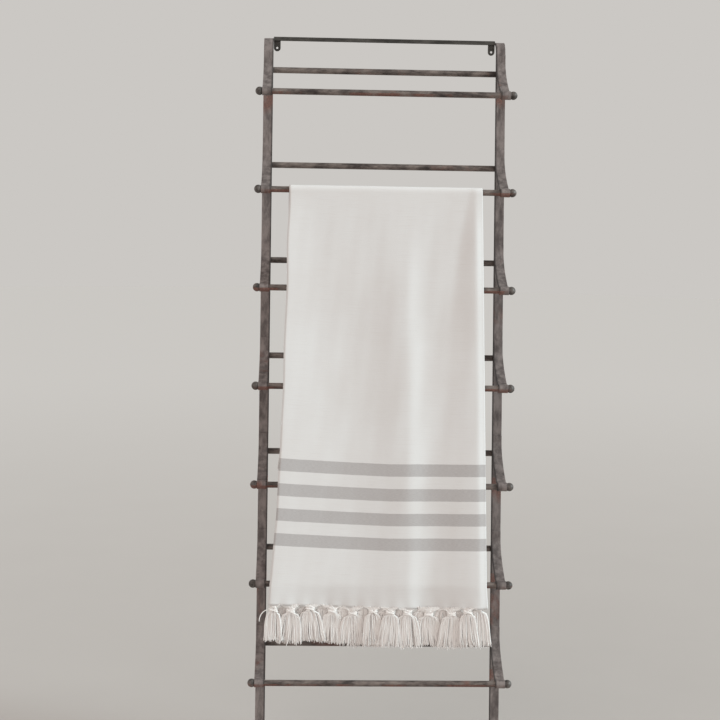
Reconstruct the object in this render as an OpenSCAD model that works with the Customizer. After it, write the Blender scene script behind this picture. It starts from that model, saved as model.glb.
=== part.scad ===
// Leaning blanket rack of forged iron bar with a folded, fringed throw over its second rung.
// The rack stands on the floor (z = 0) and leans back against a wall. X runs along the rungs,
// -Y is the front. The origin is the middle of the whole object's footprint.

/* [Rack] */
// Width over the outer edges of the two rails
rack_w = 610; // [540:5:700]
// Length of a rail along its slope, from the floor to the top
rail_len = 1830; // [1820:5:2000]
// Angle at which the rack leans back from the vertical
lean = 8.7; // [6:0.1:11]
// Distance along the rail from its top to the first back rung
first_rung_drop = 82; // [70:1:110]
// Distance between tiers along the rail
tier_pitch = 240; // [230:1:245]

/* [Rails] */
// Width of the flat bar of the rails and arms
bar_w = 24; // [20:1:30]
// Thickness of the rails
rail_t = 6; // [5:0.5:8]
// Radius of the backward bend at the top of each rail, on its centre line
bend_r = 35; // [25:1:45]

/* [Rungs] */
// Diameter of every rung
rung_d = 15; // [12:0.5:16]
// Depth of the flat where a back rung is seated on the rails
weld_seat = 0.8; // [0.4:0.1:1.2]
// How far each back rung ends inside the rail's outer edge
back_rung_inset = 2; // [1:0.5:5]
// Diameter of the ball at each end of a front rung
ball_d = 20.5; // [18:0.5:24]
// How far each ball stands out past the rails' outer edges
ball_out = 16.4; // [11:0.1:20]

/* [Arms] */
// How far a front rung stands in front of the rails' middle plane
reach = 110; // [90:1:125]
// How far a front rung lies below the back rung of its tier, along the rail
rung_step = 77; // [65:1:90]
// How far an arm starts above the back rung of its tier
arm_lead = 45; // [35:1:55]
// Length of the arm's curve, along the rail
arm_run = 105; // [95:1:112]
// Power of the arm's curve: higher stays longer on the rail
arm_power = 1.8; // [1.5:0.1:2.4]
// Thickness of the arms and of their rolled eyes
arm_t = 3; // [2.5:0.5:4]
// Radial clearance between a front rung and the eye that it turns in
eye_fit = 0.05; // [0.02:0.01:0.08]
// Width of the slit where the rolled eye closes on the arm
eye_slit = 0.5; // [0.3:0.1:1]

/* [Wall fixing] */
// Height of the top bar
top_bar_h = 10; // [8:1:14]
// Thickness of the top bar
top_bar_t = 5; // [4:0.5:6]
// Width of each wall tab
tab_w = 17; // [14:1:20]
// Length of each wall tab, from the top of the bar to its rounded end
tab_len = 36; // [30:1:45]
// Thickness of each wall tab
tab_t = 3; // [2:0.5:4]
// Diameter of the screw hole in each wall tab
tab_hole_d = 5.5; // [4:0.5:6]

/* [Throw] */
// Thickness of the two layers of folded cloth
cloth_t = 5; // [3:0.5:5]
// Gap between the cloth and the rungs that it rests on
cloth_gap = 0.3; // [0.2:0.1:0.5]
// Half widths of the throw on its rung, to the left and to the right
throw_top = [236, 236.5];
// Half widths of the throw at the last front rung that it rests on
throw_low = [270.5, 256.5];
// Half widths of the front fringe at its loose ends
throw_end = [280, 269];
// Half widths of the back drop at its hem
throw_back = [245, 247];
// Length of plain cloth that hangs below the last front rung
hem_drop = 56; // [40:1:70]
// Length of the cloth that hangs down behind its rung
back_drop = 600; // [500:5:605]
// Length of the fringe
fringe_len = 94; // [80:1:110]
// Thickness of the fringe
fringe_t = 3; // [2:0.5:3]

/* [Hidden] */
$fn = 64;
tiers = 7;
// Tier of the front rung that the throw hangs over, and of the last one that it rests on
throw_tier = 2;
rest_tier = 6;
// Straight pieces that make up the curve of an arm
arm_steps = 14;
// Gap between each ball and the eye beside it
ball_gap = 0.3;
// How far the top bar stands above the rail tips
bar_proud = 3.5;
// Angle round the eye from the arm's centre line to the slit
slit_turn = 20;

rail_x = rack_w / 2 - bar_w;
rung_r = rung_d / 2;
rail_face = rail_t / 2;
back_rung_y = rail_face + rung_r - weld_seat;

// Height along the rail, from the floor, of the rungs of tier k
function back_z(k) = rail_len - first_rung_drop - tier_pitch * (k - 1);
function front_z(k) = back_z(k) - rung_step;

// Slope frame (y, z) to upright frame, both measured from the rails' feet
function upright_y(y, z) = y * cos(lean) + z * sin(lean);
function upright_z(y, z) = z * cos(lean) - y * sin(lean);

// The rail's top bends back until it is level, so that its end meets the wall squarely
bend_angle = 90 - lean;
bend_shift = bend_r * (1 - cos(bend_angle));
bend_z = rail_len - bend_r * sin(bend_angle);
tip_y = upright_y(bend_shift, rail_len);
tip_z = upright_z(bend_shift, rail_len);

// Rolled eye at the end of an arm
eye_bore_r = rung_r + eye_fit;
eye_r = eye_bore_r + arm_t;

// The footprint runs from the front of the lowest eye to the wall
lowest_eye_y = upright_y(-reach, front_z(tiers)) - eye_r;
foot_y = -(lowest_eye_y + tip_y) / 2;
wall_y = foot_y + tip_y;

// Top bar and wall tabs: the bar's top stands a little above the rail tips
bar_top_z = tip_z + rail_face + bar_proud;
tab_x = rail_x - tab_w / 2;
tab_hole_z = bar_top_z - tab_len + tab_w / 2;

// Balls: each is cut flat on its inner side, where it meets the rung's end face
ball_r = ball_d / 2;
ball_x = rack_w / 2 + ball_out - ball_r;
front_rung_half = rack_w / 2 + ball_gap;
ball_flat = ball_x - front_rung_half;

// Centre line of an arm: distance in front of the rail's middle plane and height above its rung
arm_root = rail_face + arm_t / 2;
function arm_out(u) = arm_root + (reach - arm_root) * pow(u, arm_power);
function arm_up(u) = arm_run * (1 - u);
function arm_slope(u) = (reach - arm_root) * arm_power * pow(u, arm_power - 1) / arm_run;
// A point on the front (side = 1) or back (side = -1) surface of an arm
function arm_point(u, side) =
    let (slope = arm_slope(u), half = side * arm_t / 2 / sqrt(1 + slope * slope))
    [-arm_out(u) - half, arm_up(u) + half * slope];
// Direction in which the arm leaves its eye, measured up from the horizontal
eye_lead = atan(1 / arm_slope(1));

// Cloth surfaces, measured from the centre of a rung
cloth_in = rung_r + cloth_gap;
cloth_out = cloth_in + cloth_t;
throw_y = foot_y + upright_y(-reach, front_z(throw_tier));
throw_z = upright_z(-reach, front_z(throw_tier));
rest_y = foot_y + upright_y(-reach, front_z(rest_tier));
rest_z = upright_z(-reach, front_z(rest_tier));
fringe_in = cloth_in + (cloth_t - fringe_t) / 2;
fringe_share = hem_drop / (hem_drop + fringe_len);
// Half widths at the hem, between the last rung and the fringe's ends
throw_hem = throw_low + (throw_end - throw_low) * fringe_share;

iron = [0.36, 0.32, 0.30];
iron_light = [0.42, 0.36, 0.33];
cotton = [0.88, 0.86, 0.83];
thread = [0.84, 0.81, 0.77];

// Puts children, drawn in the rack's slope frame, in the leaning position
module leaning() {
    translate([0, foot_y, 0]) rotate([-lean, 0, 0]) children();
}

// Extrudes a side view (y, z) along X, from x to x + width
module side_extrude(x, width) {
    translate([x, 0, 0]) rotate([90, 0, 90]) linear_extrude(width) children();
}

// Extrudes a front view (x, z) along Y, from y to y + depth
module front_extrude(y, depth) {
    translate([0, y + depth, 0]) rotate([90, 0, 0]) linear_extrude(depth) children();
}

// Front view of cloth between two heights, with its half widths there
module cloth_outline(z_top, half_top, z_low, half_low) {
    polygon([
        [-half_top[0], z_top], [half_top[1], z_top],
        [half_low[1], z_low], [-half_low[0], z_low]
    ]);
}

// Part of a ring, centred on the origin, that lies inside a wedge
module ring_part(r_in, r_out, wedge) {
    intersection() {
        difference() {
            circle(r = r_out);
            circle(r = r_in);
        }
        polygon(wedge);
    }
}

// Straight bar with a level foot, up to where its top bends back
module rail(x) {
    foot_slope = tan(lean);
    color(iron) leaning() side_extrude(x, bar_w) polygon([
        [-rail_face, -rail_face * foot_slope], [rail_face, rail_face * foot_slope],
        [rail_face, bend_z], [-rail_face, bend_z]
    ]);
}

// Bent top of a rail, which ends square on the wall
module rail_tip(x) {
    far = 2 * bend_r;
    color(iron) leaning() side_extrude(x, bar_w) translate([bend_r, bend_z]) ring_part(
        bend_r - rail_face, bend_r + rail_face,
        [[0, 0], [-far, 0], [-far, far], [-far * tan(lean), far]]
    );
}

// Flat bar between the rail tips, in front of the wall tabs
module top_bar() {
    color(iron) translate([-rail_x, wall_y - tab_t - top_bar_t, bar_top_z - top_bar_h])
        cube([2 * rail_x, top_bar_t, top_bar_h]);
}

// Plate with a rounded lower end and a screw hole, flat on the wall
module wall_tab(x) {
    tab_round = tab_w / 2;
    color(iron) translate([x, wall_y, 0]) difference() {
        union() {
            translate([-tab_round, -tab_t, tab_hole_z])
                cube([tab_w, tab_t, bar_top_z - tab_hole_z]);
            translate([0, 0, tab_hole_z]) rotate([90, 0, 0]) cylinder(r = tab_round, h = tab_t);
        }
        translate([0, 1, tab_hole_z]) rotate([90, 0, 0])
            cylinder(d = tab_hole_d, h = tab_t + 2);
    }
}

// Round bar seated on the backs of both rails
module back_rung(k) {
    half = rack_w / 2 - back_rung_inset;
    color(iron_light) leaning() difference() {
        translate([-half, back_rung_y, back_z(k)]) rotate([0, 90, 0])
            cylinder(r = rung_r, h = 2 * half);
        for (side = [-1, 1])
            translate([side * (rail_x + bar_w / 2) - bar_w / 2 - 0.5, 0, back_z(k) - rung_r])
                cube([bar_w + 1, rail_face, rung_d]);
    }
}

// Strip that leaves the rail's face in a curve and ends in a rolled eye round the front rung
module arm(x, k) {
    lead_top = rung_step + arm_lead;
    back_face = -rail_face;
    front_face = -(rail_face + arm_t);
    color(iron) leaning() translate([0, 0, front_z(k)]) side_extrude(x, bar_w) difference() {
        union() {
            polygon(concat(
                [[back_face, lead_top], [front_face, lead_top]],
                [for (i = [0:arm_steps]) arm_point(i / arm_steps, 1)],
                [for (i = [arm_steps:-1:0]) arm_point(i / arm_steps, -1)]
            ));
            translate([-reach, 0]) circle(r = eye_r);
        }
        translate([-reach, 0]) circle(r = eye_bore_r);
        translate([-reach, 0]) rotate(eye_lead - slit_turn) translate([eye_bore_r - 1, -eye_slit / 2])
            square([arm_t + 2, eye_slit]);
    }
}

// Plain round bar that turns in the eyes of its two arms
module front_rung(k) {
    color(iron_light) leaning() translate([-front_rung_half, -reach, front_z(k)])
        rotate([0, 90, 0]) cylinder(r = rung_r, h = 2 * front_rung_half);
}

// Ball on the end of a front rung; side is -1 on the left and 1 on the right
module ball(side, k) {
    color(iron) leaning() translate([side * ball_x, -reach, front_z(k)])
        rotate([0, side * 90, 0]) rotate_extrude() intersection() {
            circle(r = ball_r);
            translate([0, -ball_flat]) square([ball_r, ball_flat + ball_r]);
        }
}

// Cloth lying over its rung, from the front drop's slope round to the upright back drop
module throw_over_rung() {
    far = 2 * cloth_out;
    color(cotton) translate([0, throw_y, throw_z])
        side_extrude(-throw_top[0], throw_top[0] + throw_top[1]) ring_part(
            cloth_in, cloth_out,
            [[0, 0], [far, 0], [far, far], [-far, far], [-far, far * tan(lean)]]
        );
}

// Cloth that lies down the slope on the front rungs
module throw_front_drop() {
    color(cotton) leaning() front_extrude(-reach - cloth_out, cloth_t)
        cloth_outline(front_z(throw_tier), throw_top, front_z(rest_tier), throw_low);
}

// Cloth that hangs upright below the last rung, with the wedge that turns it from the slope
module throw_front_hem() {
    turn = [cos(lean), sin(lean)];
    color(cotton) translate([0, rest_y, rest_z]) intersection() {
        side_extrude(-rack_w / 2, rack_w) polygon([
            [-cloth_in, 0], [-cloth_in * turn[0], cloth_in * turn[1]],
            [-cloth_out * turn[0], cloth_out * turn[1]], [-cloth_out, 0],
            [-cloth_out, -hem_drop], [-cloth_in, -hem_drop]
        ]);
        front_extrude(-2 * cloth_out, 2 * cloth_out) union() {
            cloth_outline(0, throw_low, -hem_drop, throw_hem);
            cloth_outline(cloth_out, throw_low, 0, throw_low);
        }
    }
}

// Cloth that hangs upright behind its rung
module throw_back_drop() {
    color(cotton) translate([0, throw_y, throw_z]) front_extrude(cloth_in, cloth_t)
        cloth_outline(0, throw_top, -back_drop, throw_back);
}

// Knotted fringe below the front hem
module fringe_front() {
    color(thread) translate([0, rest_y, rest_z])
        front_extrude(-fringe_in - fringe_t, fringe_t)
            cloth_outline(-hem_drop, throw_hem, -hem_drop - fringe_len, throw_end);
}

// Knotted fringe below the back drop
module fringe_back() {
    color(thread) translate([0, throw_y, throw_z]) front_extrude(fringe_in, fringe_t)
        cloth_outline(-back_drop, throw_back, -back_drop - fringe_len, throw_back);
}

rail(-rack_w / 2);  // rail_left
rail(rail_x);  // rail_right
rail_tip(-rack_w / 2);  // rail_tip_left
rail_tip(rail_x);  // rail_tip_right
top_bar();
wall_tab(-tab_x);  // wall_tab_left
wall_tab(tab_x);  // wall_tab_right
back_rung(1);  // back_rung_1
back_rung(2);  // back_rung_2
back_rung(3);  // back_rung_3
back_rung(4);  // back_rung_4
back_rung(5);  // back_rung_5
back_rung(6);  // back_rung_6
back_rung(7);  // back_rung_7
arm(-rack_w / 2, 1);  // arm_left_1
arm(-rack_w / 2, 2);  // arm_left_2
arm(-rack_w / 2, 3);  // arm_left_3
arm(-rack_w / 2, 4);  // arm_left_4
arm(-rack_w / 2, 5);  // arm_left_5
arm(-rack_w / 2, 6);  // arm_left_6
arm(-rack_w / 2, 7);  // arm_left_7
arm(rail_x, 1);  // arm_right_1
arm(rail_x, 2);  // arm_right_2
arm(rail_x, 3);  // arm_right_3
arm(rail_x, 4);  // arm_right_4
arm(rail_x, 5);  // arm_right_5
arm(rail_x, 6);  // arm_right_6
arm(rail_x, 7);  // arm_right_7
front_rung(1);  // front_rung_1
front_rung(2);  // front_rung_2
front_rung(3);  // front_rung_3
front_rung(4);  // front_rung_4
front_rung(5);  // front_rung_5
front_rung(6);  // front_rung_6
front_rung(7);  // front_rung_7
ball(-1, 1);  // ball_left_1
ball(-1, 2);  // ball_left_2
ball(-1, 3);  // ball_left_3
ball(-1, 4);  // ball_left_4
ball(-1, 5);  // ball_left_5
ball(-1, 6);  // ball_left_6
ball(-1, 7);  // ball_left_7
ball(1, 1);  // ball_right_1
ball(1, 2);  // ball_right_2
ball(1, 3);  // ball_right_3
ball(1, 4);  // ball_right_4
ball(1, 5);  // ball_right_5
ball(1, 6);  // ball_right_6
ball(1, 7);  // ball_right_7
throw_over_rung();
throw_front_drop();
throw_front_hem();
throw_back_drop();
fringe_front();
fringe_back();
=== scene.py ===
"""Looks for a leaning rack of forged iron bar with a folded, striped and fringed throw over a rung.

Everything is in metres in the part's own frame: X runs along the rungs, -Y is the front, Z is up.
"""

import math

import bpy
import numpy as np
from mathutils import Matrix, Vector


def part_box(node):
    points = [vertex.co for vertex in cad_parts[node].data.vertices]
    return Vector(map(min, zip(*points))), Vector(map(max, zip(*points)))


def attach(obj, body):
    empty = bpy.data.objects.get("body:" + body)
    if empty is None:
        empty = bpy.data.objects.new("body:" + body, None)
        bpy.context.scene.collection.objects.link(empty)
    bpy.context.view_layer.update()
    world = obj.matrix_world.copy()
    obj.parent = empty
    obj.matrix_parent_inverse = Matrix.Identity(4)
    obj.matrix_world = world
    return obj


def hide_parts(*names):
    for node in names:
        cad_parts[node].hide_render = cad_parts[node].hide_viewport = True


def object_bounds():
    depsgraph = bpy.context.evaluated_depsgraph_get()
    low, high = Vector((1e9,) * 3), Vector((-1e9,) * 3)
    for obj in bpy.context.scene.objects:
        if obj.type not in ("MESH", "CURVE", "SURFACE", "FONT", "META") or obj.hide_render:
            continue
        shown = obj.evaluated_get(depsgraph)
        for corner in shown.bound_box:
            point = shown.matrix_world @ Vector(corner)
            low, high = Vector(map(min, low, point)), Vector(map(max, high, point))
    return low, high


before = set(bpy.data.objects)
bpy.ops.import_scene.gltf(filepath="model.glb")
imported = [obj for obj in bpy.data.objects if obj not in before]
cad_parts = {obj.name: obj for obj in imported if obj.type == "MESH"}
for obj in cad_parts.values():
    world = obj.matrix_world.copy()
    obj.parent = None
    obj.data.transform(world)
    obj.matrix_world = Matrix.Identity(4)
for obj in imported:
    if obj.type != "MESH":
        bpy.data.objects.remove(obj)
cad_low, cad_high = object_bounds()
MM = 0.001

# ---------------------------------------------------------------- places taken from the frame

TIERS = range(1, 8)
THROW_TIER = 2
REST_TIER = 6
SIDES = ("left", "right")


def rung_centre(kind, tier):
    """Centre of a rung's section, as (y, z)."""
    low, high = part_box(f"{kind}_rung_{tier}")
    return np.array([(low.y + high.y) / 2, (low.z + high.z) / 2])


rung_low, rung_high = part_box(f"front_rung_{THROW_TIER}")
RUNG_R = (rung_high.z - rung_low.z) / 2
TOP_RUNG = rung_centre("front", THROW_TIER)
LOW_RUNG = rung_centre("front", REST_TIER)
SLOPE_LEN = float(np.linalg.norm(LOW_RUNG - TOP_RUNG))
DOWN = (LOW_RUNG - TOP_RUNG) / SLOPE_LEN
OUT = np.array([DOWN[1], -DOWN[0]])
LEAN = math.atan2(-DOWN[0], -DOWN[1])
PITCH = SLOPE_LEN / (REST_TIER - THROW_TIER)

back_low, back_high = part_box("throw_back_drop")
hem_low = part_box("throw_front_hem")[0]
over_low, over_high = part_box("throw_over_rung")
drop_low, drop_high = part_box("throw_front_drop")
end_low, end_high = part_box("fringe_front")
BAR_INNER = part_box("rail_right")[0].x
JOINT_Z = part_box("rail_tip_right")[0].z
CLOTH_IN = back_low.y - TOP_RUNG[0]
HEM_LEN = LOW_RUNG[1] - hem_low.z
BACK_LEN = TOP_RUNG[1] - back_low.z
FRINGE_LEN = end_high.z - end_low.z

# ---------------------------------------------------------------- materials


class Nodes:
    """Short calls for building a node material."""

    def __init__(self, name):
        self.material = bpy.data.materials.new(name)
        self.material.use_nodes = True
        self.tree = self.material.node_tree
        self.shader = self.tree.nodes["Principled BSDF"]

    def add(self, kind, **settings):
        """A new node with its own settings."""
        made = self.tree.nodes.new(kind)
        for key, value in settings.items():
            setattr(made, key, value)
        return made

    def put(self, socket, value):
        """Links a socket to an output, or sets it to a value."""
        if isinstance(value, bpy.types.NodeSocket):
            self.tree.links.new(value, socket)
        else:
            socket.default_value = value

    def place(self, scale=(1, 1, 1)):
        """Position in the row frame, stretched by scale."""
        where = self.add("ShaderNodeTexCoord").outputs["Object"]
        return self.stretch(where, scale)

    def stretch(self, vector, scale):
        """A vector scaled along each axis."""
        made = self.add("ShaderNodeMapping")
        self.put(made.inputs["Vector"], vector)
        made.inputs["Scale"].default_value = scale
        return made.outputs["Vector"]

    def noise(self, vector, scale, detail=3.0, rough=0.5, distortion=0.0):
        """Fractal noise of 0 to 1, with about scale lumps to a unit of the vector."""
        made = self.add("ShaderNodeTexNoise")
        self.put(made.inputs["Vector"], vector)
        made.inputs["Scale"].default_value = scale
        made.inputs["Detail"].default_value = detail
        made.inputs["Roughness"].default_value = rough
        made.inputs["Distortion"].default_value = distortion
        return made.outputs["Fac"]

    def cells(self, vector, scale, smooth=0.6):
        """Round dents, as the distance to the nearest of scattered points."""
        made = self.add("ShaderNodeTexVoronoi", feature="SMOOTH_F1")
        self.put(made.inputs["Vector"], vector)
        made.inputs["Scale"].default_value = scale
        made.inputs["Smoothness"].default_value = smooth
        return made.outputs["Distance"]

    def maths(self, operation, first, second=0.0, third=0.0, clamp=False):
        """One sum of up to three values."""
        made = self.add("ShaderNodeMath", operation=operation, use_clamp=clamp)
        for socket, value in zip(made.inputs, (first, second, third)):
            self.put(socket, value)
        return made.outputs[0]

    def span(self, value, low, high, to_low=0.0, to_high=1.0):
        """Maps low..high smoothly to to_low..to_high."""
        made = self.add("ShaderNodeMapRange", interpolation_type="SMOOTHSTEP")
        settings = (value, low, high, to_low, to_high)
        for socket, setting in zip(made.inputs, settings):
            self.put(socket, setting)
        return made.outputs[0]

    def mix(self, share, first, second):
        """A colour between two, from the first at 0 to the second at 1."""
        made = self.add("ShaderNodeMix", data_type="RGBA")
        self.put(made.inputs[0], share)
        self.put(made.inputs[6], first)
        self.put(made.inputs[7], second)
        return made.outputs[2]

    def split(self, vector):
        """A vector's three parts."""
        made = self.add("ShaderNodeSeparateXYZ")
        self.put(made.inputs[0], vector)
        return made.outputs

    def bump(self, height, strength, depth, normal=None):
        """A normal tilted by a height that is depth metres at 1."""
        made = self.add("ShaderNodeBump")
        made.inputs["Strength"].default_value = strength
        made.inputs["Distance"].default_value = depth
        self.put(made.inputs["Height"], height)
        if normal is not None:
            self.put(made.inputs["Normal"], normal)
        return made.outputs["Normal"]

    def finish(self, **values):
        """Sets the shader's sockets, named with _ for a space, and gives the material."""
        for name, value in values.items():
            self.put(self.shader.inputs[name.replace("_", " ")], value)
        return self.material


def linear(red, green, blue):
    """Shader colour for a screen colour of 0 to 255."""
    parts = [c / 255 for c in (red, green, blue)]
    return (*[c / 12.92 if c < 0.04 else ((c + 0.055) / 1.055) ** 2.4 for c in parts], 1.0)


# Tones are gains on a colour, and shares and covers go from 0 to 1.
WORN_GAIN = 1.55
WORN_SHARE = 0.35
# How dark the painted shade along the upright bars' inner edges is, as a gain on the dark iron.
INNER_SHADE_TONE = 0.3
RUST_TONE = 0.55
RUST_COVER = 0.8
CLEAN_METALLIC = 0.45
RUST_METALLIC = 0.20
SMOOTH_ROUGHNESS = 0.44
ROUGHER = 0.28


def toned(colour, gain):
    """A shader colour made lighter or darker."""
    return (*[min(1.0, gain * c) for c in colour[:3]], 1.0)


def iron(name, dark, light, rust, rusty, grain, inner_shade=0.0):
    """Forged iron: mill scale over grey metal, rust in patches and most of it under each front rung.

    rusty is the share of rust, grain stretches the forging marks along the bar, and inner_shade is how
    dark the painted shade along the upright bars' inner edges is.
    """
    n = Nodes(name)
    place = n.place()
    along = n.place(grain)
    tone = n.span(n.noise(along, 60, 5, 0.65), 0.30, 0.70)
    patch = n.noise(n.place((1, 1, 0.6)), 14, 4, 0.6, 0.4)
    drop = n.maths("DIVIDE", n.maths("SUBTRACT", TOP_RUNG[1], n.split(place)[2]), PITCH * math.cos(LEAN))
    below = n.maths("FRACT", drop)
    streak = n.span(below, 0.02, 0.30, 0.16, 0.0)
    share = n.span(n.maths("ADD", patch, streak), 0.66 - rusty, 0.80 - rusty)
    speck = n.span(n.noise(place, 330, 3, 0.7), 0.42, 0.66)
    worn = n.span(n.noise(along, 75, 4, 0.65), 0.60, 0.74)
    metal = n.mix(tone, dark, light)
    metal = n.mix(n.maths("MULTIPLY", worn, WORN_SHARE), metal, toned(light, WORN_GAIN))
    inward = n.maths("ABSOLUTE", n.split(place)[0])
    # Painted shade: a dark band along the inner edges of the rails and arms.
    inner_edge_shade = n.span(inward, BAR_INNER + 0.5 * MM, BAR_INNER + 5 * MM, inner_shade, 0.0)
    metal = n.mix(inner_edge_shade, metal, toned(dark, INNER_SHADE_TONE))
    rusted = n.mix(speck, toned(rust, RUST_TONE), rust)
    colour = n.mix(n.maths("MULTIPLY", share, RUST_COVER), metal, rusted)
    dents = n.cells(along, 46)
    pits = n.noise(place, 620, 4, 0.7)
    normal = n.bump(dents, 0.35, 0.9 * MM)
    normal = n.bump(n.noise(along, 160, 4, 0.6), 0.4, 0.35 * MM, normal)
    normal = n.bump(pits, 0.3, 0.12 * MM, normal)
    return n.finish(
        Base_Color=colour,
        Metallic=n.maths("MULTIPLY_ADD", share, RUST_METALLIC - CLEAN_METALLIC, CLEAN_METALLIC),
        Roughness=n.maths("MULTIPLY_ADD", n.maths("MAXIMUM", share, pits), ROUGHER, SMOOTH_ROUGHNESS),
        Normal=normal,
    )


WEFT_PITCH = 1.5 * MM
WARP_PITCH = 1.2 * MM
YARN_TWIST = 2.4 * MM
STRIPE_BLUR = 0.5 * MM
STRIPE_WOBBLE = 1.5 * MM


def cotton(name, plain, shade, stripe, starts, width):
    """Flat-woven cotton with stripes, whose cloth attribute holds distances across and along it."""
    n = Nodes(name)
    where = n.add("ShaderNodeAttribute", attribute_name="cloth").outputs["Vector"]
    across, along = n.split(where)[:2]
    slub = n.noise(n.stretch(where, (14, 900, 0)), 1.0, 4, 0.6)
    heather = n.noise(n.stretch(where, (120, 1500, 0)), 1.0, 2, 0.6)
    soft = n.noise(n.place(), 5, 3, 0.5)
    colour = n.mix(n.maths("MULTIPLY", n.span(slub, 0.50, 0.72), 0.5), plain, shade)
    colour = n.mix(n.maths("MULTIPLY", n.span(soft, 0.40, 0.66), 0.28), colour, shade)
    wobble = n.noise(n.stretch(where, (30, 0, 0)), 1.0, 2, 0.5)
    edge = n.maths("MULTIPLY_ADD", wobble, STRIPE_WOBBLE, along)
    inside = 0.0
    for start in starts:
        far = n.maths("ABSOLUTE", n.maths("SUBTRACT", edge, start + width / 2))
        band = n.span(far, width / 2 - STRIPE_BLUR, width / 2 + STRIPE_BLUR, 1.0, 0.0)
        inside = n.maths("ADD", inside, band, clamp=True)
    woven = n.maths("MULTIPLY_ADD", n.span(heather, 0.30, 0.70), 0.25, 0.75)
    colour = n.mix(n.maths("MULTIPLY", inside, woven), colour, stripe)
    weft = n.maths("SINE", n.maths("MULTIPLY", along, 2 * math.pi / WEFT_PITCH))
    warp = n.maths("SINE", n.maths("MULTIPLY", across, 2 * math.pi / WARP_PITCH))
    weave = n.maths("MULTIPLY_ADD", warp, 0.35, weft)
    normal = n.bump(slub, 0.35, 0.7 * MM)
    normal = n.bump(weave, 0.25, 0.12 * MM, normal)
    normal = n.bump(n.noise(n.place(), 900, 2, 0.6), 0.2, 0.1 * MM, normal)
    n.finish(Base_Color=colour, Roughness=0.92, Normal=normal)
    n.shader.inputs["Sheen Weight"].default_value = 0.25
    n.shader.inputs["Sheen Roughness"].default_value = 0.5
    n.shader.inputs["Specular IOR Level"].default_value = 0.2
    return n.material


def yarn(name, plain, shade):
    """Loose twisted yarn, whose strand attribute holds a tint, the distance along and the angle round."""
    n = Nodes(name)
    where = n.add("ShaderNodeAttribute", attribute_name="strand").outputs["Vector"]
    tint, length, turn = n.split(where)
    twist = n.maths("SINE", n.maths("MULTIPLY_ADD", length, 2 * math.pi / YARN_TWIST, turn))
    fuzz = n.noise(n.place(), 1400, 2, 0.7)
    colour = n.mix(n.maths("MULTIPLY_ADD", tint, 0.6, n.maths("MULTIPLY", fuzz, 0.2)), plain, shade)
    normal = n.bump(twist, 0.35, 0.3 * MM)
    normal = n.bump(fuzz, 0.4, 0.2 * MM, normal)
    n.finish(Base_Color=colour, Roughness=0.95, Normal=normal)
    n.shader.inputs["Sheen Weight"].default_value = 0.3
    n.shader.inputs["Specular IOR Level"].default_value = 0.15
    return n.material


# ---------------------------------------------------------------- mesh helpers


def make_object(name, points, faces, material, flat_faces=0):
    """A smooth mesh object, whose last flat_faces faces are flat."""
    mesh = bpy.data.meshes.new(name)
    mesh.from_pydata(np.asarray(points).tolist(), [], np.asarray(faces).tolist())
    smooth = [True] * (len(mesh.polygons) - flat_faces) + [False] * flat_faces
    mesh.polygons.foreach_set("use_smooth", smooth)
    mesh.materials.append(material)
    mesh.update()
    made = bpy.data.objects.new(name, mesh)
    bpy.context.scene.collection.objects.link(made)
    return made


def add_attribute(made, name, values):
    """Three numbers at each point of a mesh, for its material to read."""
    attribute = made.data.attributes.new(name, "FLOAT_VECTOR", "POINT")
    attribute.data.foreach_set("vector", np.asarray(values, np.float32).ravel())


def grid_faces(rows, columns, start=0, wrap=False):
    """Quads of a grid of points; wrap joins the last column to the first."""
    i = np.arange(rows - 1)[:, None]
    j = np.arange(columns if wrap else columns - 1)[None, :]
    k = (j + 1) % columns
    corners = [i * columns + j, i * columns + k, (i + 1) * columns + k, (i + 1) * columns + j]
    return np.stack([c.ravel() + start for c in corners], axis=1)


def sweep_tubes(paths, radii, sides):
    """Round tubes along many paths at once. paths is (tubes, points, 3) and radii (tubes, points)."""
    tangent = np.gradient(paths, axis=1)
    tangent /= np.linalg.norm(tangent, axis=2, keepdims=True) + 1e-12
    guide = np.where(np.abs(tangent[..., 1:2]) < 0.8, [0.0, 1.0, 0.0], [1.0, 0.0, 0.0])
    first = np.cross(tangent, guide)
    first /= np.linalg.norm(first, axis=2, keepdims=True) + 1e-12
    second = np.cross(tangent, first)
    angle = 2 * math.pi * np.arange(sides) / sides
    ring = first[:, :, None] * np.cos(angle)[None, None, :, None]
    ring = ring + second[:, :, None] * np.sin(angle)[None, None, :, None]
    points = paths[:, :, None] + ring * radii[:, :, None, None]
    tubes, rows = paths.shape[:2]
    faces = [grid_faces(rows, sides, t * rows * sides, wrap=True) for t in range(tubes)]
    return points.reshape(-1, 3), np.concatenate(faces)


def smoothstep(value, low, high):
    """0 up to low, 1 from high, and a smooth rise between them."""
    t = np.clip((value - low) / (high - low), 0, 1)
    return t * t * (3 - 2 * t)


def waves(rng, x, y, size_x, size_y, count=9):
    """Smooth seeded noise of about -1 to 1, with waves of about the given sizes."""
    total = 0
    for _ in range(count):
        kx, ky = rng.normal(0, 1 / size_x), rng.normal(0, 1 / size_y)
        total = total + np.sin(2 * math.pi * (kx * x + ky * y) + rng.uniform(0, 2 * math.pi))
    return total / math.sqrt(count)


# ---------------------------------------------------------------- the throw

CLOTH_THICK = 1.1 * MM
LAYER_GAP = 1.5 * MM
INNER = CLOTH_IN + CLOTH_THICK / 2
OUTER = INNER + CLOTH_THICK + LAYER_GAP
HEM_TURN = OUTER * LEAN
TOP_TURN = OUTER * (math.pi - LEAN)
CLOTH_LEN = HEM_LEN + HEM_TURN + SLOPE_LEN + TOP_TURN + BACK_LEN
FOLDED_WIDTH = drop_high.x - drop_low.x
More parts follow.
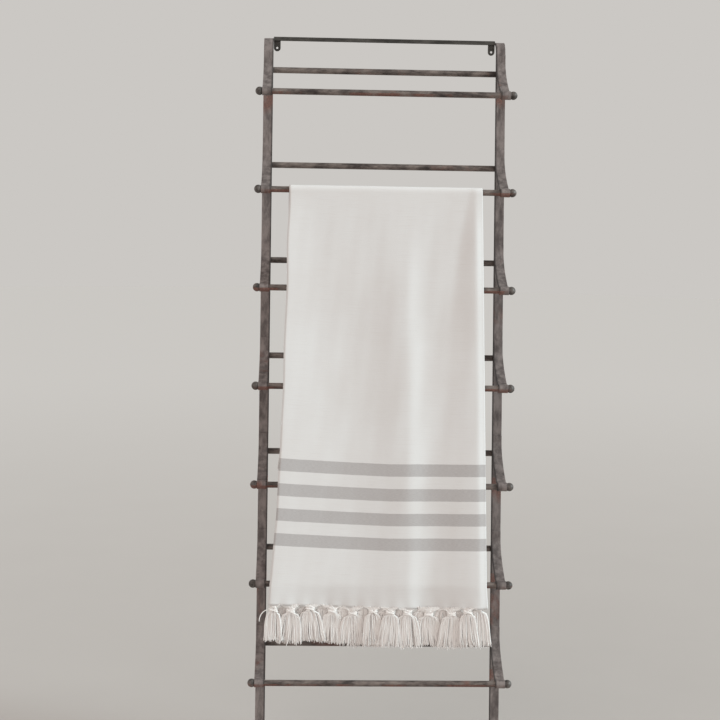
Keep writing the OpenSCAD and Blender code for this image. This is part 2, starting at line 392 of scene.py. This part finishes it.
# The weft's rise and the folds from left to right. Places and widths across are shares of the folded
# width, and a gain is what is added on the way down to the hem.
LEFT_RISE = 12.5 * MM
RIGHT_RISE = 1 * MM
BOW_SHARE = 0.42
LEFT_ROLL = 7 * MM
LEFT_ROLL_GAIN = 14 * MM
LEFT_WIDTH = 0.08
LEFT_WIDTH_GAIN = 0.17
MIDDLE_FOLD = 1.6 * MM
MIDDLE_FOLD_GAIN = 7.6 * MM
MIDDLE_AT = 0.60
MIDDLE_DRIFT = 0.03
MIDDLE_LEFT_SIDE = 0.15
MIDDLE_RIGHT_SIDE = 0.065
VALLEY_LOW = 0.72
VALLEY_GAIN = 0.21
RIGHT_CREST = 0.973
EDGE_START = 0.970
RIGHT_ROLL = 9 * MM
RIGHT_EDGE_BACK = 5 * MM


def weft_rise(across):
    """How much further up its rung a weft line lies than in the middle; across is 0 left to 1 right."""
    left = LEFT_RISE * np.clip((0.55 - across) / 0.55, 0, 1) ** 1.35
    return left + RIGHT_RISE * np.clip((across - 0.5) / 0.5, 0, 1) ** 2


def half_widths(d):
    """Distances from the middle to the left and right edges, at d along the cloth's path."""
    slope = np.clip((HEM_LEN + HEM_TURN + SLOPE_LEN - d) / SLOPE_LEN, 0, 1)
    back = np.clip((d - CLOTH_LEN + BACK_LEN) / BACK_LEN, 0, 1)
    hem = np.clip((HEM_LEN - d) / (HEM_LEN + FRINGE_LEN), 0, 1)
    bow = BOW_SHARE * slope + (1 - BOW_SHARE) * slope**4
    left = -over_low.x + (over_low.x - drop_low.x) * bow
    right = over_high.x + (drop_high.x - over_high.x) * slope
    left = left + (drop_low.x - end_low.x) * hem + (over_low.x - back_low.x) * back
    right = right + (end_high.x - drop_high.x) * hem + (back_high.x - over_high.x) * back
    return left, right


def path_place(d, offset):
    """(y, z) at d along the path from the front hem, offset from the rungs' centres."""
    turn_low = np.clip((d - HEM_LEN) / HEM_TURN, 0, 1) * LEAN
    turn_top = np.clip((d - HEM_LEN - HEM_TURN - SLOPE_LEN) / TOP_TURN, 0, 1)
    angle = turn_low + turn_top * (math.pi - LEAN)
    normal = np.stack([-np.cos(angle), np.sin(angle)], axis=-1)
    below = np.clip(HEM_LEN - d, 0, None)
    climb = np.clip(d - HEM_LEN - HEM_TURN, 0, SLOPE_LEN)
    behind = np.clip(d - CLOTH_LEN + BACK_LEN, 0, None)
    y = LOW_RUNG[0] - DOWN[0] * climb
    z = LOW_RUNG[1] - DOWN[1] * climb - below - behind
    return y + normal[..., 0] * offset, z + normal[..., 1] * offset


def front_relief(s, v):
    """How far the front of the throw stands off its lie, at s across and v down from the top rung.

    A soft roll runs down each side and a fold right of the middle. All three grow on their way down.
    """
    grow = 0.25 + 0.75 * smoothstep(v, 0.0, 0.14)
    left_width = LEFT_WIDTH + LEFT_WIDTH_GAIN * smoothstep(v, 0.0, 0.8)
    left = LEFT_ROLL + LEFT_ROLL_GAIN * smoothstep(v, 0.0, 0.7)
    left = left * np.exp(-((s / left_width) ** 1.35))
    centre = MIDDLE_AT + MIDDLE_DRIFT * v
    side = np.where(s < centre, MIDDLE_LEFT_SIDE, MIDDLE_RIGHT_SIDE)
    middle = MIDDLE_FOLD + MIDDLE_FOLD_GAIN * smoothstep(v, 0.03, 0.4)
    middle = middle * np.exp(-(((s - centre) / side) ** 2))
    valley = VALLEY_LOW + VALLEY_GAIN * (1 - np.clip(v, 0, 1)) ** 1.8
    right = RIGHT_ROLL * smoothstep(s, valley, RIGHT_CREST)
    right = right - RIGHT_EDGE_BACK * smoothstep(s, EDGE_START, 1.0)
    return (left + middle + right) * grow


# The cloth's grid, and the small swings of its edges and free ends.
CLOTH_ROWS = 270
OUTER_COLUMNS = 92
FOLD_COLUMNS = 9
INNER_COLUMNS = 64
INNER_SHARE = 0.35
SAG = 0.9 * MM
TUCK = 6 * MM
EDGE_WOBBLE = 0.9 * MM
BACK_SWAY = 4.0 * MM
BACK_RIPPLE = 1.6 * MM
HEM_SWAY = 3.0 * MM
FLUTE = 1.1 * MM
FLUTES = 14.0
FLUTE_LEN = 14 * MM


def cloth_hang(s, d, along):
    """How far the free ends of the throw swing and flute, as (free ends, fluted hems)."""
    behind = np.clip((d - CLOTH_LEN + BACK_LEN) / BACK_LEN, 0, None)
    sway = smoothstep(behind, 0.02, 0.6)
    hang = BACK_SWAY * (np.sin(2 * math.pi * (1.35 * s + 0.1 + 0.25 * behind)) - 1.0) * sway
    hang = hang + BACK_RIPPLE * np.sin(2 * math.pi * (3.1 * s + 0.4 - 0.3 * behind)) * sway
    hem = np.clip(1 - d / HEM_LEN, 0, 1)
    loose = hem * HEM_SWAY * np.sin(2 * math.pi * (2.2 * s + 0.15))
    flute = np.exp(-along / FLUTE_LEN) + np.exp(-(CLOTH_LEN - along) / FLUTE_LEN)
    return hang + loose, FLUTE * flute * np.sin(2 * math.pi * s * FLUTES)


def cloth_grid():
    """Points of the folded throw, row by row from the front hem to the back hem, and their marks.

    A row runs across the outer half, round the fold on the right and back across the inner half.
    """
    rng = np.random.default_rng(4)
    along = np.linspace(0, CLOTH_LEN, CLOTH_ROWS)[:, None]
    s_outer = np.linspace(0, 1, OUTER_COLUMNS)
    s_inner = np.linspace(1, 0, INNER_COLUMNS)
    s = np.concatenate([s_outer, np.ones(FOLD_COLUMNS), s_inner])[None, :]
    round_the_fold = np.linspace(1, 0, FOLD_COLUMNS + 2)[1:-1]
    layer = np.concatenate([np.ones(OUTER_COLUMNS), round_the_fold, np.zeros(INNER_COLUMNS)])
    turn = np.pi / 2 * (2 * layer - 1)
    d = along + weft_rise(s) * np.ones_like(along)
    on_slope = HEM_LEN + HEM_TURN
    v = 1 - (d - on_slope) / SLOPE_LEN
    front = front_relief(s, v) * (1 - smoothstep(-v, 0.0, 0.014))
    wrinkle = waves(rng, s * 0.5, d, 0.16, 0.5) * 0.45 * MM
    wrinkle = wrinkle + waves(rng, s * 0.5, d, 0.07, 0.22) * 0.2 * MM
    sag = np.sin(np.pi * np.clip(v, 0, 1) * (REST_TIER - THROW_TIER)) ** 2 * SAG
    puffs = front + (wrinkle + 0.45 * MM) * smoothstep(v, 0.0, 0.08) * (v < 1.2)
    hang, ripple = cloth_hang(s, d, along)
    high = OUTER + puffs - sag + hang + ripple
    low = INNER + INNER_SHARE * front - sag * 0.6 + hang + 0.8 * ripple
    edge_high = high[:, [OUTER_COLUMNS - 1]]
    edge_low = low[:, [-INNER_COLUMNS]]
    radius = (edge_high - edge_low) / 2
    left, right = half_widths(d)
    wobble = waves(rng, d, d * 0, 0.25, 1.0) * EDGE_WOBBLE
    left_edge = -(left + wobble)
    inner_edge = left_edge + TUCK * smoothstep(v, 0.0, 0.05)
    x_outer = left_edge + (right - radius - left_edge) * s
    x_inner = inner_edge + (right - radius - inner_edge) * s
    x_fold = right - radius + radius * np.cos(turn)
    is_fold = (layer > 0) & (layer < 1)
    x = np.where(is_fold, x_fold, np.where(layer == 1, x_outer, x_inner))
    round_fold = edge_low + radius + radius * np.sin(turn)
    offset = np.where(is_fold, round_fold, np.where(layer == 1, high, low))
    y, z = path_place(d, offset)
    points = np.stack([x * np.ones_like(y), y, z], axis=-1)
    across = np.concatenate([s_outer, np.ones(FOLD_COLUMNS), 2 - s_inner]) * FOLDED_WIDTH
    marks = np.stack(np.broadcast_arrays(across[None, :], along, 0.0), axis=-1)
    return points, marks


def thicken(points, thickness):
    """A thin closed sheet round a grid of points, as points, faces and the count of rim faces."""
    normal = np.cross(np.gradient(points, axis=0), np.gradient(points, axis=1))
    normal /= np.linalg.norm(normal, axis=2, keepdims=True) + 1e-15
    rows, columns = points.shape[:2]
    half = thickness / 2
    sides = [points + normal * half, points - normal * half]
    both = np.concatenate([side.reshape(-1, 3) for side in sides])
    count = rows * columns
    front = grid_faces(rows, columns)
    back = grid_faces(rows, columns, count)[:, ::-1]
    ids = np.arange(count).reshape(rows, columns)
    loop = np.concatenate([ids[0, :], ids[1:, -1], ids[-1, -2::-1], ids[-2:0:-1, 0]])
    after = np.roll(loop, -1)
    rim = np.stack([after, loop, loop + count, after + count], axis=1)
    return both, np.concatenate([front, back, rim]), len(rim)


# The stripes near each end of the cloth, the first one's start being its distance from the hem.
STRIPES = 4
STRIPE_START = 142 * MM
STRIPE_WIDTH = 30 * MM
STRIPE_PITCH = 60 * MM


def stripe_starts():
    """Distances along the cloth at which its stripes start, near the front hem and near the back one."""
    front = [STRIPE_START + STRIPE_PITCH * k for k in range(STRIPES)]
    return front + [CLOTH_LEN - start - STRIPE_WIDTH for start in front]


def make_throw(material):
    """The cloth, and the grid of points that it was made round."""
    points, marks = cloth_grid()
    both, faces, rim_count = thicken(points, CLOTH_THICK)
    made = make_object("throw", both, faces, material, rim_count)
    add_attribute(made, "cloth", np.concatenate([marks.reshape(-1, 3)] * 2))
    return made, points


# ---------------------------------------------------------------- fringes

# Tassels in a row under one layer of cloth, and strands in a whole tassel.
TASSELS = 11
STRANDS = 76
STRAND_R = 1.15 * MM
KNOT_DROP = 10 * MM
KNOT_HALF = 9.5 * MM
KNOT_DEEP = 2.2 * MM
KNOT_TALL = 9 * MM
KNOT_YARN_R = 1.7 * MM
KNOT_SIDES = 7
KNOT_TILTS = (0.40, -0.36, 0.10, -0.12)
LAYER_RAISE = 8 * MM
LAYER_EVEN = 0.6
ROOT_UP = 3.0 * MM
SHORT_LEFT = 7 * MM
STRAND_SIDES = 4
END_THIN = 0.3
OPENING = 0.28
STRAY_OUT = 19 * MM
STRAY_FALL = 24 * MM
TASSEL_PITCH = (end_high.x - end_low.x) / TASSELS


def tassel_strands(rng, root_left, root_right, knot, length, spread, strands):
    """Paths of the strands of one tassel: from the hem into the knot, and hanging below it."""
    into, inside, below = 4, 1, 8
    share = (np.arange(strands) + rng.uniform(-0.4, 0.4, strands) + 0.5) / strands
    root = root_left + (root_right - root_left) * share[:, None]
    root[:, 2] += rng.uniform(-1.5 * MM, 2.5 * MM, strands)
    angle = np.pi * (1 - share) + rng.uniform(-0.8, 0.8, strands) + np.pi * (np.arange(strands) % 2)
    reach = np.sqrt(rng.uniform(0.1, 1, strands))
    core = np.stack([
        KNOT_HALF * reach * np.cos(angle), KNOT_DEEP * reach * np.sin(angle), np.zeros(strands)
    ], axis=1)
    top = knot + [0, 0, KNOT_TALL / 2] + core
    bottom = knot - [0, 0, KNOT_TALL / 2] + core
    t = np.linspace(0, 1, into)[None, :, None]
    ease = t * t * (3 - 2 * t)
    start = root[:, None] * (1 - ease) + top[:, None] * ease
    start[..., 2] = root[:, None, 2] * (1 - t[..., 0]) + top[:, None, 2] * t[..., 0]
    t = np.linspace(0, 1, inside + 2)[1:-1][None, :, None]
    middle = top[:, None] * (1 - t) + bottom[:, None] * t
    u = (np.linspace(0, 1, below) ** 1.3)[None, :]
    fan = np.sort(rng.uniform(-1, 1, strands))[np.argsort(np.argsort(core[:, 0]))][:, None]
    ends = length * (1 + rng.normal(0, 0.035, strands))[:, None]
    sway = rng.uniform(0, 2 * np.pi, (strands, 1))
    lean_x = rng.normal(0, 2.5 * MM)
    bend = np.sin(2 * np.pi * (1.2 * u) + sway) * u * 0.8 * MM
    fray = smoothstep(u, 0.8, 1.0) * rng.normal(0, 1.8 * MM, (strands, 1))
    opened = u**OPENING
    x = bottom[:, 0:1] * (1 - opened) + (knot[0] + fan * spread / 2) * opened
    x = x + lean_x * u**2 + bend + fray
    twist = 2 * np.pi * rng.uniform(0.3, 0.7)
    deep = core[:, 1:2] * np.cos(twist * u) + core[:, 0:1] * 0.25 * np.sin(twist * u)
    y = bottom[:, 1:2] - core[:, 1:2] + deep * (1 - 0.45 * u)
    y = y + rng.normal(0, 0.6 * MM, (strands, 1)) * u
    z = bottom[:, 2:3] - ends * u
    end = np.stack([x, y, z], axis=-1)
    return np.concatenate([start, middle, end], axis=1)


def knot_wraps(rng, knot):
    """Crossing turns of yarn round a tassel's neck."""
    wraps = []
    for tilt in KNOT_TILTS:
        angle = np.linspace(0, 2 * np.pi, 15)
        tilt_now = tilt + rng.normal(0, 0.08)
        size = 1 + rng.uniform(0, 0.12)
        x = size * KNOT_HALF * np.cos(angle)
        y = size * (KNOT_DEEP + 0.8 * MM) * np.sin(angle)
        z = x * math.tan(tilt_now) + rng.normal(0, 1.2 * MM)
        wraps.append(knot + np.stack([x, y, z], axis=1))
    return np.array(wraps)


def stray_thread(corner):
    """One loose thread that curls out from a corner of the hem."""
    t = np.linspace(0, 1, 20)
    arc = t * math.pi / 2
    x = -2 * MM - STRAY_OUT * np.sin(arc)
    z = -12 * MM - STRAY_FALL * (1 - np.cos(arc)) - 3 * MM * t
    return corner + np.stack([x, -4 * MM * t, z], axis=1)


def make_fringe(name, seed, hem_lines, drift, length, material, stray=None):
    """A row of knotted tassels under each layer of cloth. drift moves each layer's knots along Y."""
    rng = np.random.default_rng(seed)
    strands, knots = [], []
    for layer, line in enumerate(hem_lines):
        line = line[np.argsort(line[:, 0])]
        spots = np.linspace(0, 1, len(line))
        marks = (np.arange(TASSELS + 1) + 0.5 * layer - 0.25) / (TASSELS + 0.25)
        marks[1:-1] += rng.normal(0, 0.012, TASSELS - 1)
        marks = np.clip(marks, 0, 1)
        for left, right in zip(marks[:-1], marks[1:]):
            ends = [[np.interp(m, spots, line[:, c]) for c in range(3)] for m in (left, right)]
            ends = [np.array(end) + [0, 0, ROOT_UP] for end in ends]
            width = ends[1][0] - ends[0][0]
            count = max(10, round(STRANDS * min(1, width / TASSEL_PITCH)))
            middle = (ends[0] + ends[1]) / 2 - [0, 0, ROOT_UP]
            uneven = rng.uniform(-3 * MM, 5 * MM) * (1 - LAYER_EVEN * layer)
            drop = KNOT_DROP - LAYER_RAISE * layer + uneven
            knot = middle + [rng.normal(0, 2.0 * MM), drift[layer] + rng.normal(0, 0.5 * MM), -drop]
            spread = min(width, TASSEL_PITCH) * rng.uniform(1.25, 1.5)
            below = length - drop - KNOT_TALL / 2 + rng.normal(0, 2.5 * MM)
            below = below - SHORT_LEFT * (1 - left) ** 2
            strands.append(tassel_strands(rng, *ends, knot, below, spread, count))
            knots.append(knot_wraps(rng, knot))
    if stray is not None:
        strands.append(stray[None])
    points, faces, tints, start = [], [], [], 0
    groups = [(path, STRAND_R, STRAND_SIDES, END_THIN) for path in strands]
    groups += [(path, KNOT_YARN_R, KNOT_SIDES, 0.0) for path in knots]
    for paths, radius, sides, thinner in groups:
        tubes, rows = paths.shape[:2]
        taper = 1 - thinner * smoothstep(np.linspace(0, 1, rows), 0.75, 1.0)
        p, f = sweep_tubes(paths, radius * taper * np.ones((tubes, 1)), sides)
        step = np.linalg.norm(np.diff(paths, axis=1), axis=2)
        run = np.concatenate([np.zeros((tubes, 1)), np.cumsum(step, axis=1)], axis=1)
        tint = rng.uniform(0, 1, (tubes, 1)) * np.ones((1, rows))
        mark = np.stack([tint, run, np.zeros_like(run)], axis=-1)[:, :, None]
        mark = np.repeat(mark, sides, axis=2)
        mark[..., 2] = 2 * np.pi * np.arange(sides) / sides
        points.append(p)
        faces.append(f + start)
        tints.append(mark.reshape(-1, 3))
        start += len(p)
    made = make_object(name, np.concatenate(points), np.concatenate(faces), material)
    add_attribute(made, "strand", np.concatenate(tints))
    return made


# ---------------------------------------------------------------- iron work


def dress_iron(node, material, bevel=0.0, spare=None):
    """Gives a CAD node its material, and rounds its edges where bevel is set.

    spare(point) is true where a sharp edge stays, because the bar goes on in the next node.
    """
    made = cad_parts[node]
    made.data.materials.clear()
    made.data.materials.append(material)
    if not bevel:
        return
    mesh = made.data
    if mesh.has_custom_normals:
        with bpy.context.temp_override(object=made, active_object=made, selected_objects=[made]):
            bpy.context.view_layer.objects.active = made
            bpy.ops.mesh.customdata_custom_splitnormals_clear()
    uses = {}
    for polygon in mesh.polygons:
        for key in polygon.edge_keys:
            uses[key] = uses.get(key, 0) + 1
    weights = np.zeros(len(mesh.edges), np.float32)
    for edge in mesh.edges:
        rim = uses.get(tuple(sorted(edge.vertices)), 0) == 1
        ends = [mesh.vertices[v].co for v in edge.vertices]
        if rim and not (spare and all(spare(p) for p in ends)):
            weights[edge.index] = 1.0
    attribute = mesh.attributes.get("bevel_weight_edge")
    attribute = attribute or mesh.attributes.new("bevel_weight_edge", "FLOAT", "EDGE")
    attribute.data.foreach_set("value", weights)
    weld = made.modifiers.new("weld", "WELD")
    weld.merge_threshold = 0.01 * MM
    soften = made.modifiers.new("edges", "BEVEL")
    soften.width = bevel
    soften.segments = 2
    soften.limit_method = "WEIGHT"
    soften.harden_normals = True


WELD_POINTS = 17
BEAD_SIDES = 8
BEAD_LUMPS = 0.22
RUNG_WELD_R = 1.7 * MM
RUNG_WELD_TURN = math.radians(48)
ARM_WELD_R = 1.3 * MM
BAR_WELD_R = 1.2 * MM
# As in the CAD: how deep a back rung sits in its rail, and the thickness of rails and arms.
WELD_SEAT = 0.8 * MM
RAIL_T = 6 * MM
ARM_T = 3 * MM


def bead(rng, path, radius):
    """A lumpy run of weld metal along a path."""
    rows = len(path)
    ripple = 1 + BEAD_LUMPS * np.sin(np.arange(rows) * 2.1 + rng.uniform(0, 6)) + rng.normal(0, 0.1, rows)
    ends = np.sin(np.pi * np.clip(np.linspace(0.06, 0.94, rows), 0, 1)) ** 0.35
    return np.asarray(path)[None], (radius * ripple * ends)[None]


def make_beads(name, runs, material):
    """One piece of weld runs, which rides on the rack."""
    points, faces, start = [], [], 0
    for path, radii in runs:
        p, f = sweep_tubes(path, radii, BEAD_SIDES)
        points.append(p)
        faces.append(f + start)
        start += len(p)
    made = make_object(name, np.concatenate(points), np.concatenate(faces), material)
    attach(made, "rack")


def weld_run(rng, x, spot, radius):
    """A run of weld along X, at spot as (y, z)."""
    path = np.stack([x, np.full(len(x), spot[0]), np.full(len(x), spot[1])], axis=1)
    path[:, 1:] += rng.normal(0, 0.15 * MM, (len(x), 2))
    return bead(rng, path, radius)


def back_rung_welds(rng):
    """Two runs where each back rung sits on each rail, above and below the rung."""
    runs = []
    for tier in TIERS:
        centre = rung_centre("back", tier)
        for side in SIDES:
            low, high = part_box(f"arm_{side}_{tier}")
            x = np.linspace(low.x + 3 * MM, high.x - 3 * MM, WELD_POINTS)
            for turn in (RUNG_WELD_TURN, -RUNG_WELD_TURN):
                out = OUT * math.cos(turn) + DOWN * math.sin(turn)
                runs.append(weld_run(rng, x, centre + out * (RUNG_R + 0.4 * MM), RUNG_WELD_R))
    return runs


def arm_welds(rng):
    """A run across the top end of each arm, where it meets the front of its rail."""
    runs = []
    face = RUNG_R - WELD_SEAT + RAIL_T
    for tier in TIERS:
        centre = rung_centre("back", tier)
        for side in SIDES:
            low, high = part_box(f"arm_{side}_{tier}")
            lead = (high.z - centre[1] - (face + ARM_T) * OUT[1]) / -DOWN[1]
            x = np.linspace(low.x + 2 * MM, high.x - 2 * MM, WELD_POINTS)
            spot = centre + OUT * (face + 0.7 * MM) - DOWN * (lead + 0.5 * MM)
            runs.append(weld_run(rng, x, spot, ARM_WELD_R))
    return runs


def top_bar_welds(rng):
    """Runs where the top bar meets the rail tips, and where each tab meets the bar's lower edge."""
    runs = []
    low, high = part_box("top_bar")
    for x in (low.x + 0.6 * MM, high.x - 0.6 * MM):
        path = np.tile([x, low.y - 0.2 * MM, 0.0], (WELD_POINTS, 1))
        path[:, 2] = np.linspace(low.z + MM, high.z - MM, WELD_POINTS)
        runs.append(bead(rng, path, BAR_WELD_R))
    for side in SIDES:
        tab_low, tab_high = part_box(f"wall_tab_{side}")
        x = np.linspace(tab_low.x + 2 * MM, tab_high.x - 2 * MM, WELD_POINTS)
        runs.append(weld_run(rng, x, (tab_low.y - 0.5 * MM, low.z - 0.5 * MM), BAR_WELD_R))
    return runs


# ---------------------------------------------------------------- make everything

GREY = linear(149, 138, 135)
DARK = linear(95, 86, 84)
RUST = linear(142, 97, 85)
UPRIGHT_GRAIN = (1, 1, 0.35)
LEVEL_GRAIN = (0.35, 1, 1)
flat_iron = iron("forged_flat_iron", DARK, GREY, RUST, 0.06, UPRIGHT_GRAIN, inner_shade=0.85)
bar_iron = iron(
    "forged_top_bar_iron", linear(58, 55, 52), linear(96, 92, 88), RUST, 0.0, LEVEL_GRAIN
)
rung_iron = iron(
    "forged_round_iron", linear(62, 54, 52), linear(140, 128, 122), RUST, 0.08, LEVEL_GRAIN
)
ball_iron = iron(
    "forged_ball_iron", linear(55, 50, 48), linear(120, 112, 108), RUST, 0.0, (1, 1, 1)
)
cotton_plain = cotton(
    "woven_cotton", linear(230, 226, 225), linear(221, 214, 211),
    linear(184, 178, 177), stripe_starts(), STRIPE_WIDTH,
)
cotton_yarn = yarn("fringe_yarn", linear(252, 247, 245), linear(248, 240, 236))

EDGE = 0.9 * MM
THIN_EDGE = 0.6 * MM


def near_tip(point):
    """True where a rail goes on into its bent tip."""
    return point.z > JOINT_Z - 6 * MM


def near_rail_or_wall(point):
    """True where a bent tip goes on into its rail, and at its end against the wall."""
    return point.z < JOINT_Z + 2 * MM or point.y > cad_high.y - 4 * MM


for side in SIDES:
    dress_iron(f"rail_{side}", flat_iron, EDGE, near_tip)
    dress_iron(f"rail_tip_{side}", flat_iron, EDGE, near_rail_or_wall)
    dress_iron(f"wall_tab_{side}", bar_iron, THIN_EDGE)
    for tier in TIERS:
        dress_iron(f"arm_{side}_{tier}", flat_iron, THIN_EDGE)
        dress_iron(f"ball_{side}_{tier}", ball_iron)
dress_iron("top_bar", bar_iron, EDGE)
for tier in TIERS:
    dress_iron(f"back_rung_{tier}", rung_iron)
    dress_iron(f"front_rung_{tier}", rung_iron)

weld_rng = np.random.default_rng(11)
make_beads("back_rung_welds", back_rung_welds(weld_rng), flat_iron)
make_beads("arm_welds", arm_welds(weld_rng), flat_iron)
make_beads("top_bar_welds", top_bar_welds(weld_rng), bar_iron)

throw, cloth_points = make_throw(cotton_plain)
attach(throw, "throw")
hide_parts("throw_over_rung", "throw_front_drop", "throw_front_hem", "throw_back_drop")

front_hem, back_hem = [[row[:OUTER_COLUMNS], row[-INNER_COLUMNS:]] for row in cloth_points[[0, -1]]]
fringe_front = make_fringe(
    "fringe_front_yarn", 5, front_hem, (0.8 * MM, -1.2 * MM), FRINGE_LEN, cotton_yarn,
    stray_thread(front_hem[0][0]),
)
fringe_back = make_fringe(
    "fringe_back_yarn", 6, back_hem, (-0.8 * MM, 1.2 * MM), FRINGE_LEN, cotton_yarn
)
for made, node in ((fringe_front, "fringe_front"), (fringe_back, "fringe_back")):
    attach(made, "throw")
    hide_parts(node)

# ---------------------------------------------------------------- floor, light and camera


FLOOR_R = 14.0
FLOOR_NEAR = 0.3
FLOOR_FAR = 7.0


def pale_floor():
    """Matt floor with painted shade: darker near the rack, it lightens with distance to the colour of the
    studio.
    """
    n = Nodes("pale_floor")
    spots = n.noise(n.place(), 3, 3, 0.5)
    far = n.add("ShaderNodeVectorMath", operation="LENGTH")
    n.put(far.inputs[0], n.place())
    # Painted shade: the floor near the rack is darker and the far floor lighter.
    shaded_near_colour = n.mix(spots, linear(191, 184, 180), linear(195, 188, 184))
    share = n.span(far.outputs["Value"], FLOOR_NEAR, FLOOR_FAR)
    colour = n.mix(share, shaded_near_colour, linear(207, 201, 198))
    return n.finish(Base_Color=colour, Roughness=0.95, Specular_IOR_Level=0.0)


bpy.ops.mesh.primitive_circle_add(vertices=96, radius=FLOOR_R, fill_type="NGON", location=(0, 0, 0))
floor = bpy.context.active_object
floor.name = "floor"
floor.data.materials.append(pale_floor())


def soft_sun(name, azimuth, elevation, strength, angle, colour):
    """A soft distant light. Azimuth 0 shines from the front and 90 from the right."""
    light = bpy.data.lights.new(name, "SUN")
    light.energy = strength
    light.angle = math.radians(angle)
    light.color = colour
    made = bpy.data.objects.new(name, light)
    bpy.context.scene.collection.objects.link(made)
    a, e = math.radians(azimuth), math.radians(elevation)
    towards = Vector((math.sin(a) * math.cos(e), -math.cos(a) * math.cos(e), math.sin(e)))
    made.rotation_euler = towards.to_track_quat("Z", "Y").to_euler()


soft_sun("window", azimuth=78, elevation=24, strength=2.65, angle=24, colour=(0.78, 0.96, 1.0))
soft_sun("room", azimuth=-40, elevation=35, strength=0.50, angle=60, colour=(1.0, 0.90, 0.84))

STUDIO_COLOUR = (0.597, 0.577, 0.552, 1)
world = bpy.data.worlds.new("studio")
world.use_nodes = True
background = world.node_tree.nodes["Background"]
background.inputs["Color"].default_value = STUDIO_COLOUR
background.inputs["Strength"].default_value = 1.0
bpy.context.scene.world = world

# The camera stands well in front of the rack, near the throw's left edge, and looks slightly down.
CAMERA_AT = Vector((-0.1946, cad_low.y - 3.4952, 1.5063))
CAMERA_YAW = 0.0377
CAMERA_DOWN = 0.1328
CAMERA_ROLL = 0.0180


def camera_turn():
    """The camera's axes as columns, from its turn to the right, its tilt down and its roll."""
    flat = math.cos(CAMERA_DOWN)
    ahead = Vector((math.sin(CAMERA_YAW) * flat, math.cos(CAMERA_YAW) * flat, -math.sin(CAMERA_DOWN)))
    right = ahead.cross(Vector((0, 0, 1))).normalized()
    up = right.cross(ahead)
    rolled_right = right * math.cos(CAMERA_ROLL) + up * math.sin(CAMERA_ROLL)
    rolled_up = up * math.cos(CAMERA_ROLL) - right * math.sin(CAMERA_ROLL)
    return Matrix((rolled_right, rolled_up, -ahead)).transposed()


camera_data = bpy.data.cameras.new("camera")
camera_data.lens = 75
camera_data.sensor_width = 36
camera = bpy.data.objects.new("camera", camera_data)
bpy.context.scene.collection.objects.link(camera)
camera.matrix_world = Matrix.Translation(CAMERA_AT) @ camera_turn().to_4x4()
bpy.context.scene.camera = camera
bpy.context.scene.view_settings.view_transform = "Standard"
